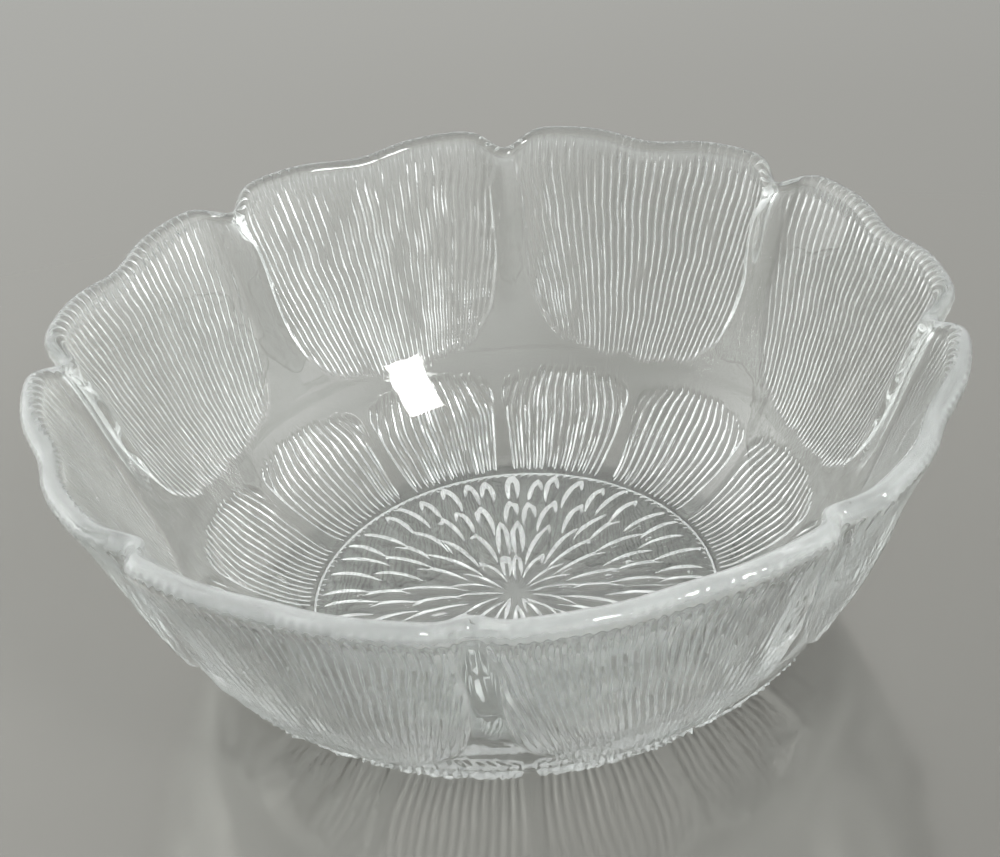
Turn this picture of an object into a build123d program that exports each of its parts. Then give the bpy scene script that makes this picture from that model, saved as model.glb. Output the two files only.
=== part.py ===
from build123d import *
import math
import os

# Pressed-glass bowl. Millimetres, +Z up, origin at the centre of the resting face.

# Rim and petals
petal_count = 8
notch_depth = 3.2          # how far the rim steps in at the notch between two petals
petal_dip = 1.4            # shallow dip between the two lobes of a petal
notch_width_deg = 3.2
dip_width_deg = 6.0
rim_notch_drop = 1.8       # the rim is lower at each notch
rim_dip_drop = 0.9         # and a little lower at the middle of each petal
rim_notch_half_width = 6.5
rim_dip_half_width = 10.0

# Heights
bowl_height = 45.8
floor_top = 3.6
band_height = 16.0         # ring band between the lower and the upper tier

# Outer wall from the table up: (height, radius)
outer_profile = [
    (0.0, 30.6),
    (1.6, 34.2),
    (5.6, 40.2),
    (12.2, 46.1),
    (16.0, 48.6),
    (21.8, 51.5),
    (30.5, 54.9),
    (37.0, 57.5),
    (42.0, 59.6),
    (bowl_height, 60.4),
]

# Inner wall from the floor up: (height, radius), running on past the rim
inner_profile = [
    (floor_top, 28.8),
    (5.0, 32.6),
    (9.2, 38.4),
    (16.0, 44.0),
    (21.8, 47.5),
    (30.5, 51.4),
    (37.0, 54.3),
    (42.0, 56.7),
    (bowl_height, 57.9),
    (bowl_height + 3.0, 58.4),
]

# Foot: a narrow ring round a shallow recess
foot_ring_inner_radius = 28.0
foot_recess = 0.7

# Starburst under the floor: (inner radius, outer radius, width, count, turn in steps)
flute_rings = [
    (3.0, 11.0, 1.0, 16, 0.0),
    (8.0, 18.5, 1.5, 16, 0.5),
    (15.5, 26.6, 1.5, 32, 0.5),
]
flute_depth = 0.5


def petal_strength(height):
    """0 at and below the ring band, 1 at the rim."""
    rise = (height - band_height) / (bowl_height - band_height)
    return min(max(rise, 0.0), 1.0) ** 1.5


def outline_points(radius, height):
    """Points round the petals at one height."""
    points = []
    per_petal = 18
    petal = 360.0 / petal_count
    for i in range(petal_count * per_petal):
        angle = i * petal / per_petal
        in_petal = angle % petal
        to_notch = min(in_petal, petal - in_petal)
        to_middle = abs(in_petal - petal / 2)
        inset = notch_depth * math.exp(-((to_notch / notch_width_deg) ** 2))
        inset += petal_dip * math.exp(-((to_middle / dip_width_deg) ** 2))
        r = radius - petal_strength(height) * inset
        a = math.radians(angle)
        points.append((r * math.cos(a), r * math.sin(a)))
    return points


def petal_loft(profile):
    """Solid through the petal outlines of a wall profile."""
    with BuildPart() as body:
        for height, radius in profile:
            with BuildSketch(Plane.XY.offset(height)):
                with BuildLine():
                    Spline(*outline_points(radius, height), periodic=True)
                make_face()
        loft()
    return body.part


def rim_cutter(half_width, drop, angle):
    """Long shallow cylinder that lowers the rim along one radius."""
    radius = (half_width ** 2 + drop ** 2) / (2 * drop)
    with BuildPart() as cutter:
        Cylinder(radius, 24, rotation=(0, 90, 0))
    place = Rot(0, 0, angle) * Pos(58, 0, bowl_height - drop + radius)
    return place * cutter.part


outer_body = petal_loft(outer_profile)
inner_body = petal_loft(inner_profile)

rim_cutters = []
for i in range(petal_count):
    notch_angle = i * 360.0 / petal_count
    middle_angle = notch_angle + 180.0 / petal_count
    rim_cutters.append(rim_cutter(rim_notch_half_width, rim_notch_drop, notch_angle))
    rim_cutters.append(rim_cutter(rim_dip_half_width, rim_dip_drop, middle_angle))

with BuildPart() as bowl:
    add(outer_body)
    add(inner_body, mode=Mode.SUBTRACT)
    # Height scallops of the rim
    for cutter in rim_cutters:
        add(cutter, mode=Mode.SUBTRACT)
    # Shallow recess inside the foot ring
    with BuildSketch(Plane.XY):
        Circle(foot_ring_inner_radius)
    extrude(amount=foot_recess, mode=Mode.SUBTRACT)
    # Leaf-shaped flutes of the starburst
    with BuildSketch(Plane.XY.offset(foot_recess)):
        for inner_r, outer_r, width, count, turn in flute_rings:
            middle = (inner_r + outer_r) / 2
            for i in range(count):
                angle = (i + turn) * 360.0 / count
                with Locations(Rot(0, 0, angle) * Pos(middle, 0, 0)):
                    Ellipse((outer_r - inner_r) / 2, width / 2)
    extrude(amount=flute_depth, mode=Mode.SUBTRACT)

bowl.part.label = "bowl"
print("volume mm3", round(bowl.part.volume, 1))
print("size mm", bowl.part.bounding_box().size)

os.makedirs("parts", exist_ok=True)
export_step(bowl.part, "parts/bowl.step")
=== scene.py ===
import math

import bpy
import numpy as np
from mathutils import Matrix, Vector


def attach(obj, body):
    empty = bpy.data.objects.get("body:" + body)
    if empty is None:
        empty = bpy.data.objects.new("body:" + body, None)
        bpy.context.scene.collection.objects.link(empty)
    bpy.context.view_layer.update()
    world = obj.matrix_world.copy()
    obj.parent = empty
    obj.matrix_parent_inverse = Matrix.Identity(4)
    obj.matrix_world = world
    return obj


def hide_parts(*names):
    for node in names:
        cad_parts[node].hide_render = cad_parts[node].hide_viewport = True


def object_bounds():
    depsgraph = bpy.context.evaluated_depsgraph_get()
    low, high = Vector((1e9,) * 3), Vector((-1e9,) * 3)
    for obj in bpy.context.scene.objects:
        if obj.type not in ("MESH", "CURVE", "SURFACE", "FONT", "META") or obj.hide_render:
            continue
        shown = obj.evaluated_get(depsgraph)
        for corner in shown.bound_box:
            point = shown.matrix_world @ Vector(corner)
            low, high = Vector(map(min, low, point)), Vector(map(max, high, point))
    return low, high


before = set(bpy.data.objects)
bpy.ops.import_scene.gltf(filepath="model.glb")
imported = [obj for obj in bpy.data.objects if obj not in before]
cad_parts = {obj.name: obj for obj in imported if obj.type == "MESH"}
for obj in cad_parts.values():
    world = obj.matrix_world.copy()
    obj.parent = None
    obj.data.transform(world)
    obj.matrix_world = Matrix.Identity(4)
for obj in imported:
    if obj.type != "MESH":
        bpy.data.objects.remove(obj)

CAD_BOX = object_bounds()
MM = 0.001

# ---------------------------------------------------------------- the bowl's own sizes, in millimetres

PETALS = 8
FANS = 12
PETAL_ANGLE = 360 / PETALS
FAN_ANGLE = 360 / FANS
FAN_TURN = 4.5             # degrees by which the lower fans are turned against the petals
HEIGHT = (CAD_BOX[1].z - CAD_BOX[0].z) / MM
INSET_START = 16.0         # height at which the petal outline begins
FAN_TOP = 10.5             # the lower fans end here
BAND_HEIGHT = 11.8         # smooth ring band between the two tiers
BAND_HALF_WIDTH = 2.0
BAND_RELIEF = 0.25
PANEL_FOOT = 12.9          # the ribbed petal panels begin here
PANEL_TOP = 43.0           # and have their full width here
PANEL_SHOULDER = 33.0      # the panels round off below this height
GROUND_DEPTH = 0.42        # the smooth ground lies this far inside the wall line
FOOT_HEIGHT = 0.03         # lowest point of the glass
RECESS = 0.7               # depth of the recess inside the foot ring
FLOOR_TOP = 3.6            # inside floor

NOTCH_INSET = 3.2          # how far the rim steps in at a notch
DIP_INSET = 1.4            # and at the middle of a petal
NOTCH_DROP = 1.8           # how far the rim sinks at a notch
DIP_DROP = 0.9             # and at the middle of a petal

RIB_PITCH = 1.36           # degrees from rib to rib at the top of a petal panel
RIB_HEIGHT = 0.38
FAN_RIBS = 14
FAN_RIB_HEIGHT = 0.42
FAN_HALF_ANGLE = 14.3

# Profiles as (radius, height)
OUTER_WALL = [(29.5, 0.06), (31.2, 0.50), (34.2, 1.7), (40.2, 5.6), (46.1, 12.2), (48.6, 16.0), (51.5, 21.8),
              (54.9, 30.5), (57.2, 37.0), (59.0, 41.2), (60.3, 44.0)]
INNER_WALL = [(57.35, 44.2), (56.4, 42.0), (54.0, 37.0), (51.4, 30.5), (47.5, 21.8), (44.0, 16.0),
              (38.4, 9.2), (33.0, 5.3), (28.8, 3.7), (24.0, FLOOR_TOP)]
# The sharp step from the recess down to the foot ring
FOOT_STEP = [(28.45, 0.70), (28.52, 0.66), (28.58, 0.42), (28.64, 0.20), (28.70, 0.06), (28.85, FOOT_HEIGHT)]
RIM_CENTRE = (58.85, 44.3)
RIM_RADIUS = 1.5

# Rings of flutes under the floor: (inner radius, outer radius, half width, count, turn in degrees)
FLUTE_RINGS = [(2.4, 8.8, 0.85, 17, 0.3), (6.4, 16.2, 1.10, 25, 1.1), (13.4, 21.6, 1.15, 35, 2.3),
               (19.7, 27.3, 1.15, 47, 0.7)]
FLUTE_DEPTH = 0.56

# How finely the mesh is divided
WALL_COLUMNS = 2160
FLOOR_COLUMNS = 1080
INSIDE_COLUMNS = 540
WALL_SPACING = 0.62
INSIDE_SPACING = 1.3


def smoothstep(x):
    x = np.clip(x, 0.0, 1.0)
    return x * x * (3 - 2 * x)


def curve_through(points, spacing):
    """Evenly spaced points on a smooth curve through the given ones (Catmull-Rom)."""
    p = np.array(points, float)
    p = np.vstack([2 * p[0] - p[1], p, 2 * p[-1] - p[-2]])
    fine = []
    for k in range(1, len(p) - 2):
        t = np.linspace(0, 1, 40, endpoint=False)[:, None]
        a, b, c, d = p[k - 1], p[k], p[k + 1], p[k + 2]
        fine.append(0.5 * (2 * b + (c - a) * t + (2 * a - 5 * b + 4 * c - d) * t ** 2
                           + (3 * b - a - 3 * c + d) * t ** 3))
    fine = np.vstack(fine + [p[-2:-1]])
    run = np.r_[0, np.cumsum(np.hypot(*np.diff(fine, axis=0).T))]
    even = np.linspace(0, run[-1], max(int(run[-1] / spacing), 2) + 1)
    return np.stack([np.interp(even, run, fine[:, 0]), np.interp(even, run, fine[:, 1])], 1)


def outward(profile):
    """Normals of a profile that runs up the outside: away from the axis."""
    d = np.gradient(profile, axis=0)
    d /= np.linalg.norm(d, axis=1)[:, None]
    return np.stack([d[:, 1], -d[:, 0]], 1)


def to_notch(deg):
    """Degrees to the nearest notch."""
    a = np.mod(deg, PETAL_ANGLE)
    return np.minimum(a, PETAL_ANGLE - a)


def to_middle(deg):
    """Degrees to the nearest middle of a petal."""
    return np.abs(np.mod(deg, PETAL_ANGLE) - PETAL_ANGLE / 2)


def petal_inset(deg, z):
    """How far the wall steps in at the notches and petal dips, growing towards the rim."""
    rise = np.clip((z - INSET_START) / (HEIGHT - INSET_START), 0, 1) ** 1.5
    inset = NOTCH_INSET * np.exp(-((to_notch(deg) / 3.0) ** 2))
    inset = inset + DIP_INSET * np.exp(-((to_middle(deg) / 6.0) ** 2))
    return rise * inset


def rim_drop(deg, z):
    """The rim is lower at the notches and a little lower in the middle of each petal."""
    near = smoothstep((z - 30.0) / (HEIGHT - 30.0))
    drop = NOTCH_DROP * np.exp(-((to_notch(deg) / 3.6) ** 2))
    drop = drop + DIP_DROP * np.exp(-((to_middle(deg) / 6.5) ** 2))
    return near * drop


def ripple(x, y, seed):
    """Smooth uneven field between about -1 and 1: a few crossed waves with fixed phases."""
    total = 0.0
    for k, (fx, fy) in enumerate([(0.31, 0.17), (-0.53, 0.29), (0.83, -0.41), (1.27, 0.67)]):
        total = total + np.sin(fx * x + fy * y + seed * (k + 1.7) * 1.37) / (1 + 0.6 * k)
    return total / 2.1


def ridges(q):
    """Rounded ridges, one between each two whole values of q."""
    return (0.5 - 0.5 * np.cos(2 * np.pi * q)) ** 1.4


def upper_relief(deg, z):
    """Ribbed petal panels above the ring band, with smooth valleys between them."""
    a = np.mod(deg, PETAL_ANGLE) - PETAL_ANGLE / 2
    number = np.floor(deg / PETAL_ANGLE)
    t = np.clip((z - PANEL_FOOT) / (PANEL_TOP - PANEL_FOOT), 0, 1)
    sway = 0.27 * ripple(z * 0.5, number * 3.1, 2.0)
    half = PETAL_ANGLE / 2 - (2.1 - 1.2 * smoothstep((t - 0.80) / 0.20))
    length = 0.4 * ripple(a * 2.3 + number * 3, 0.0, 8.0)
    # Degrees inside the panel's outline, which is a rounded rectangle open at the top
    across = np.abs(a + sway) / half
    down = np.clip((PANEL_SHOULDER - z + length) / (PANEL_SHOULDER - PANEL_FOOT), 0, 2)
    roundness = 3.1
    edge = half * (1 - (across ** roundness + down ** roundness) ** (1 / roundness))
    side = smoothstep(edge / 0.8)
    bead = 0.24 * np.exp(-(((edge - 0.35) / 0.34) ** 2)) * smoothstep((z - PANEL_FOOT - 0.5) / 3.0)
    # About thirty ribs, closing in on each other towards the foot of the panel
    q = a * (1 + 0.42 * (1 - t) ** 1.8) / RIB_PITCH
    q = q + 0.16 * ripple(z * 0.7, a * 0.35 + number * 5.3, 1.0)
    q = q + 0.10 * ripple(z * 2.0, a * 0.8 + number, 4.0)
    uneven = (0.30 * ripple(a * 1.9 + number * 7, z * 0.4, 3.0)
              + 0.22 * ripple(a * 0.7, z * 1.3 + number * 4, 5.0)
              + 0.25 * ripple(a * 2.9, z * 3.7, 9.0))
    height = RIB_HEIGHT * (1 + uneven) * (1 - 0.15 * smoothstep((z - 34) / 7))
    return side * (0.12 + height * ridges(q)) + bead


def fan_relief(deg, z):
    """Rounded ribbed fans below the ring band."""
    deg = deg - FAN_TURN
    a = np.mod(deg, FAN_ANGLE) - FAN_ANGLE / 2
    number = np.floor(deg / FAN_ANGLE)
    v = np.clip(z / FAN_TOP, 0, 1.2)
    belly = FAN_HALF_ANGLE * (1 - 0.10 * (1 - v) ** 2)
    half = belly * np.clip(1 - np.clip((v - 0.68) / 0.32, 0, 1) ** 3.4, 0, 1) ** 0.42
    side = smoothstep((half - np.abs(a)) / 1.0)
    q = a / (belly * (1 - 0.30 * np.clip((v - 0.35) / 0.65, 0, 1) ** 2)) * (FAN_RIBS / 2)
    q = q + 0.22 * ripple(z * 1.1, number * 4.1 + a * 0.3, 5.0)
    uneven = 0.3 * ripple(a * 1.7 + number * 5, z * 0.7, 6.0) + 0.45 * ripple(a * 2.9, z * 4.5, 9.0)
    return side * (0.26 + FAN_RIB_HEIGHT * (1 + uneven) * ridges(q))


def wall_relief(deg, z):
    """Outside relief of the wall, measured from the wall line: the sunk ground is below it, the ribs reach past it."""
    relief = np.where(z > BAND_HEIGHT, upper_relief(deg, z), fan_relief(deg, z))
    band = BAND_RELIEF * np.clip(1 - ((z - BAND_HEIGHT) / BAND_HALF_WIDTH) ** 2, 0, 1)
    return relief + band - GROUND_DEPTH


def starburst(deg, r):
    """Depth of the leaf-shaped flutes cut into the underside."""
    depth = np.zeros_like(r)
    for inner, outer, half_width, count, turn in FLUTE_RINGS:
        step = 360 / count
        slot = np.round((deg - turn) / step)
        middle = (inner + outer) / 2 + 0.55 * np.sin(slot * 2.4 + turn * 5)
        reach = (outer - inner) / 2 * (1 + 0.08 * np.sin(slot * 3.7 + turn))
        lean = 0.16 * step * np.sin(slot * 1.9 + turn * 3)
        across = np.radians((deg - turn) - slot * step - lean) * r
        across = across + 0.25 * np.sin((r - middle) / reach * 1.6) * np.sin(slot * 2.9)
        along = (r - middle) / reach
        width = half_width * np.clip(1 - along ** 2, 0, 1) ** 0.8 * (1 + 0.22 * along)
        x = np.clip(np.abs(across) / np.maximum(width, 1e-6), 0, 1)
        flank = np.clip((1 - x) / 0.78, 0, 1)
        leaf = np.where(width > 0.02, flank * (1.2 - 0.2 * flank), 0)
        leaf = leaf * (FLUTE_DEPTH + 0.10 * np.sin(slot * 4.3 + turn)) * np.clip(width / half_width, 0, 1)
        # Where two flutes cross, a low web is left between them
        depth = np.maximum(depth, leaf) - 0.7 * np.minimum(depth, leaf)
    return depth


# ---------------------------------------------------------------- rings of points, from the middle of the underside
# over the wall and rim to the middle of the inside floor

def ring_angles(columns):
    return np.arange(columns) * 360.0 / columns


def make_ring(deg, r, z):
    """Ring of points in metres; r and z may be single values or one for each angle."""
    a = np.radians(deg)
    r, z = r + 0 * a, z + 0 * a
    return np.stack([r * np.cos(a), r * np.sin(a), z], 1) * MM


def build_rings():
    rings = []
    # Underside, inside the foot ring
    deg = ring_angles(FLOOR_COLUMNS)
    for r in np.linspace(0.5, 27.5, 91):
        rings.append(make_ring(deg, r, RECESS + starburst(deg, np.full_like(deg, r))))
    # A strip of small grains round the burst, then the beaded step down to the foot ring
    for r in np.linspace(27.7, 28.3, 4):
        grain = 0.07 * ripple(deg * 9, 7.0 * r, 2.0) + 0.05 * np.sin(np.radians(deg) * 135 + 5 * r)
        rings.append(make_ring(deg, r, RECESS + grain))
    for r, z in FOOT_STEP:
        bead = 0.10 * np.sin(np.radians(deg) * 90) ** 2 * (0.1 < z < 0.68)
        rings.append(make_ring(deg, r - bead, z))
    # Foot ring, outer wall and its relief
    deg = ring_angles(WALL_COLUMNS)
    rings.append(make_ring(deg, 29.2, FOOT_HEIGHT))
    wall = curve_through(OUTER_WALL, WALL_SPACING)
    for (r, z), (nr, nz) in zip(wall, outward(wall)):
        # The relief rises just above the foot and is mostly gone under the rim
        fade = smoothstep((z - 0.06) / 0.35) * (1 - 0.60 * smoothstep((z - 41.5) / 2.5))
        d = wall_relief(deg, z) * fade
        level = np.maximum(z + d * nz - rim_drop(deg, z), FOOT_HEIGHT)
        rings.append(make_ring(deg, r + d * nr - petal_inset(deg, z), level))
    # Rounded rim, with fine ticks where the ribs end
    for turn in np.radians(np.linspace(12, 172, 13)):
        nr, nz = math.cos(turn), math.sin(turn)
        r = RIM_CENTRE[0] + RIM_RADIUS * nr
        z = RIM_CENTRE[1] + RIM_RADIUS * nz
        fade = 0.35 * max(0.0, math.cos(min(turn * 1.9, math.pi / 2)))
        d = wall_relief(deg, 44.5) * fade
        rings.append(make_ring(deg, r + d * nr - petal_inset(deg, z), z + d * nz - rim_drop(deg, z)))
    # Smooth inside
    deg = ring_angles(INSIDE_COLUMNS)
    for r, z in curve_through(INNER_WALL, INSIDE_SPACING):
        rings.append(make_ring(deg, r - petal_inset(deg, z), z - rim_drop(deg, z)))
    for r in np.linspace(22, 1.5, 12):
        rings.append(make_ring(deg, r, FLOOR_TOP))
    return rings


def stitch(rings):
    """Faces between the rings. A ring may have a whole multiple of its neighbour's points."""
    starts = np.cumsum([0] + [len(r) for r in rings])
    faces = []
    for k in range(len(rings) - 1):
        n0, n1 = len(rings[k]), len(rings[k + 1])
        s0, s1 = starts[k], starts[k + 1]
        if n0 == n1:
            i = np.arange(n0)
            j = (i + 1) % n0
            faces.extend(np.stack([s0 + i, s0 + j, s1 + j, s1 + i], 1).tolist())
        elif n1 > n0:
            m = n1 // n0
            for i in range(n0):
                fine = [s1 + (i * m + q) % n1 for q in range(m, -1, -1)]
                faces.append([s0 + i, s0 + (i + 1) % n0] + fine)
        else:
            m = n0 // n1
            for i in range(n1):
                fine = [s0 + (i * m + q) % n0 for q in range(m + 1)]
                faces.append(fine + [s1 + (i + 1) % n1, s1 + i])
    return faces, starts


def bowl_mesh():
    """One closed surface: the rings, closed by a fan of faces at each end."""
    rings = build_rings()
    faces, starts = stitch(rings)
    verts = np.vstack(rings)
    under = len(verts)
    inside = under + 1
    verts = np.vstack([verts, [[0, 0, RECESS * MM], [0, 0, FLOOR_TOP * MM]]])
    n = len(rings[0])
    for i in range(n):
        faces.append([under, (i + 1) % n, i])
    n, s = len(rings[-1]), int(starts[-2])
    for i in range(n):
        faces.append([inside, s + i, s + (i + 1) % n])
    mesh = bpy.data.meshes.new("bowl_glass")
    mesh.from_pydata(verts.tolist(), [], faces)
    mesh.validate()
    mesh.shade_smooth()
    return mesh


# ---------------------------------------------------------------- glass

GLASS_IOR = 1.51


def new_node(tree, kind, **values):
    """Adds a node and sets its input sockets; an underscore stands for a space in a socket's name."""
    node = tree.nodes.new(kind)
    for name, value in values.items():
        node.inputs[name.replace("_", " ")].default_value = value
    return node


def new_math(tree, operation, *inputs):
    """Adds a Math node. Each input is a number or the socket that feeds it."""
    node = tree.nodes.new("ShaderNodeMath")
    node.operation = operation
    for k, value in enumerate(inputs):
        if isinstance(value, bpy.types.NodeSocket):
            tree.links.new(value, node.inputs[k])
        else:
            node.inputs[k].default_value = value
    return node.outputs[0]


def two_tone(tree, factor, dark, light):
    """Colour between two near tones."""
    ramp = tree.nodes.new("ShaderNodeValToRGB")
    ramp.color_ramp.elements[0].color = dark
    ramp.color_ramp.elements[1].color = light
    tree.links.new(factor, ramp.inputs["Fac"])
    return ramp.outputs["Color"]


def glass_material():
    mat = bpy.data.materials.new("pressed_glass")
    mat.use_nodes = True
    nt = mat.node_tree
    shader = nt.nodes["Principled BSDF"]
    shader.inputs["IOR"].default_value = GLASS_IOR
    place = nt.nodes.new("ShaderNodeTexCoord").outputs["Object"]
    # Faint unevenness of the moulded surface
    swirl = new_node(nt, "ShaderNodeTexNoise", Scale=160.0, Detail=2.0)
    nt.links.new(place, swirl.inputs["Vector"])
    bump = new_node(nt, "ShaderNodeBump", Strength=0.12, Distance=0.0004)
    nt.links.new(swirl.outputs["Fac"], bump.inputs["Height"])
    nt.links.new(bump.outputs["Normal"], shader.inputs["Normal"])
    # Slight haze in patches, as glass has after use
    haze = new_node(nt, "ShaderNodeTexNoise", Scale=45.0, Detail=4.0)
    nt.links.new(place, haze.inputs["Vector"])
    rough = new_node(nt, "ShaderNodeMapRange", From_Min=0.4, From_Max=0.75, To_Min=0.012, To_Max=0.06)
    nt.links.new(haze.outputs["Fac"], rough.inputs["Value"])
    nt.links.new(rough.outputs["Result"], shader.inputs["Roughness"])
    # The glass scatters a trace of light, and a little more towards the rim, along a ragged edge
    apart = nt.nodes.new("ShaderNodeSeparateXYZ")
    nt.links.new(place, apart.inputs["Vector"])
    frost = new_node(nt, "ShaderNodeMapRange", From_Min=0.043, From_Max=0.052, To_Min=0.985, To_Max=0.96)
    frost.interpolation_type = "SMOOTHSTEP"
    ragged = new_math(nt, "MULTIPLY_ADD", haze.outputs["Fac"], 0.010, apart.outputs["Z"])
    nt.links.new(ragged, frost.inputs["Value"])
    nt.links.new(frost.outputs["Result"], shader.inputs["Transmission Weight"])
    # Cool grey-green tint, a little uneven
    tint = two_tone(nt, swirl.outputs["Fac"], (0.93, 0.955, 0.945, 1), (0.965, 0.98, 0.972, 1))
    nt.links.new(tint, shader.inputs["Base Color"])
    return mat


bowl = bpy.data.objects.new("bowl_glass", bowl_mesh())
bpy.context.scene.collection.objects.link(bowl)
bowl.data.materials.append(glass_material())
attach(bowl, "root")
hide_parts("bowl")


# ---------------------------------------------------------------- floor, light and camera

FLOOR_HALF_WIDTH = 3.0

# Brightness of the dome, and its brighter patches: (direction, strength, focus)
DOME_LIGHT = 0.24
DOME_PATCHES = [((0.0, 0.83, 0.56), 1.15, 5), ((-0.85, 0.30, 0.40), 2.7, 6), ((0.90, -0.10, 0.40), 2.3, 6),
                ((0.2, -0.9, 0.4), 1.2, 5)]

# The camera was fitted to the rim, floor and wall: turns in radians, and the rim's middle in the view, in rim radii
CAMERA_YAW, CAMERA_PITCH, CAMERA_ROLL = -0.0847, 0.5942, -0.0953
RIM_IN_VIEW = Vector((-0.0194, -0.193, 4.2482))
RIM_LINE_RADIUS = 0.058
RIM_LINE_HEIGHT = 0.0436
FOCAL_IN_WIDTHS = 1.9100757  # focal length as a share of the picture's width
SENSOR_WIDTH = 36.0


def floor_material():
    """Satin grey floor, partly mirror-like, with a faint grain."""
    mat = bpy.data.materials.new("satin_floor")
    mat.use_nodes = True
    nt = mat.node_tree
    shader = nt.nodes["Principled BSDF"]
    shader.inputs["Roughness"].default_value = 0.14
    shader.inputs["Metallic"].default_value = 0.65
    grain = new_node(nt, "ShaderNodeTexNoise", Scale=30.0)
    tone = two_tone(nt, grain.outputs["Fac"], (0.205, 0.198, 0.184, 1), (0.235, 0.228, 0.213, 1))
    nt.links.new(tone, shader.inputs["Base Color"])
    return mat


floor_z = CAD_BOX[0].z
corners = [(x * FLOOR_HALF_WIDTH, y * FLOOR_HALF_WIDTH, floor_z) for x, y in [(-1, -1), (1, -1), (1, 1), (-1, 1)]]
floor_mesh = bpy.data.meshes.new("floor")
floor_mesh.from_pydata(corners, [], [(0, 1, 2, 3)])
floor = bpy.data.objects.new("floor", floor_mesh)
bpy.context.scene.collection.objects.link(floor)
floor.data.materials.append(floor_material())


def studio_world():
    """Soft grey dome with broad brighter patches, as from large diffusers."""
    world = bpy.data.worlds.new("studio")
    world.use_nodes = True
    nt = world.node_tree
    place = nt.nodes.new("ShaderNodeTexCoord").outputs["Generated"]
    total = DOME_LIGHT
    for direction, strength, focus in DOME_PATCHES:
        dot = nt.nodes.new("ShaderNodeVectorMath")
        dot.operation = "DOT_PRODUCT"
        dot.inputs[1].default_value = Vector(direction).normalized()
        nt.links.new(place, dot.inputs[0])
        above = new_math(nt, "MAXIMUM", dot.outputs["Value"], 0.0)
        patch = new_math(nt, "POWER", above, focus)
        total = new_math(nt, "MULTIPLY_ADD", patch, strength, total)
    background = nt.nodes["Background"]
    background.inputs["Color"].default_value = (0.98, 1.0, 0.985, 1)
    nt.links.new(total, background.inputs["Strength"])
    return world


bpy.context.scene.world = studio_world()


def softbox(name, place, aim, width, height, power):
    """Rectangular soft light of the given size in metres and power in watts."""
    light = bpy.data.lights.new(name, "AREA")
    light.shape = "RECTANGLE"
    light.size = width
    light.size_y = height
    light.energy = power
    obj = bpy.data.objects.new(name, light)
    obj.location = place
    obj.rotation_mode = "QUATERNION"
    obj.rotation_quaternion = (Vector(aim) - Vector(place)).to_track_quat("-Z", "Y")
    bpy.context.scene.collection.objects.link(obj)


softbox("window_front", (0.60, -0.69, 0.99), (-0.015, 0.037, 0.011), 0.26, 0.42, 8.5)


def camera_place():
    """Matrix of a camera that looks down at the bowl from the front, rolled a little."""
    sp, cp = math.sin(CAMERA_PITCH), math.cos(CAMERA_PITCH)
    sr, cr = math.sin(CAMERA_ROLL), math.cos(CAMERA_ROLL)
    turn = Matrix.Rotation(CAMERA_YAW, 3, "Z")
    tilt = Matrix(((1, 0, 0), (0, -sp, -cp), (0, cp, -sp)))
    lean = Matrix(((cr, -sr, 0), (sr, cr, 0), (0, 0, 1)))
    view_axes = lean @ tilt @ turn
    place = Vector((0, 0, RIM_LINE_HEIGHT)) - view_axes.transposed() @ (RIM_IN_VIEW * RIM_LINE_RADIUS)
    right, down, forward = view_axes
    axes = Matrix((right, -down, -forward)).transposed()
    return Matrix.Translation(place) @ axes.to_4x4()


camera_data = bpy.data.cameras.new("camera")
camera_data.sensor_width = SENSOR_WIDTH
camera_data.lens = FOCAL_IN_WIDTHS * SENSOR_WIDTH
camera_data.clip_start = 0.01
camera = bpy.data.objects.new("camera", camera_data)
camera.matrix_world = camera_place()
bpy.context.scene.collection.objects.link(camera)
bpy.context.scene.camera = camera

bpy.context.scene.view_settings.view_transform = "Standard"
# Light crosses the ribbed glass many times before it leaves, and with few bounces the ribs turn grey
cycles = bpy.context.scene.cycles
cycles.max_bounces = 32
cycles.glossy_bounces = 20
cycles.transmission_bounces = 28
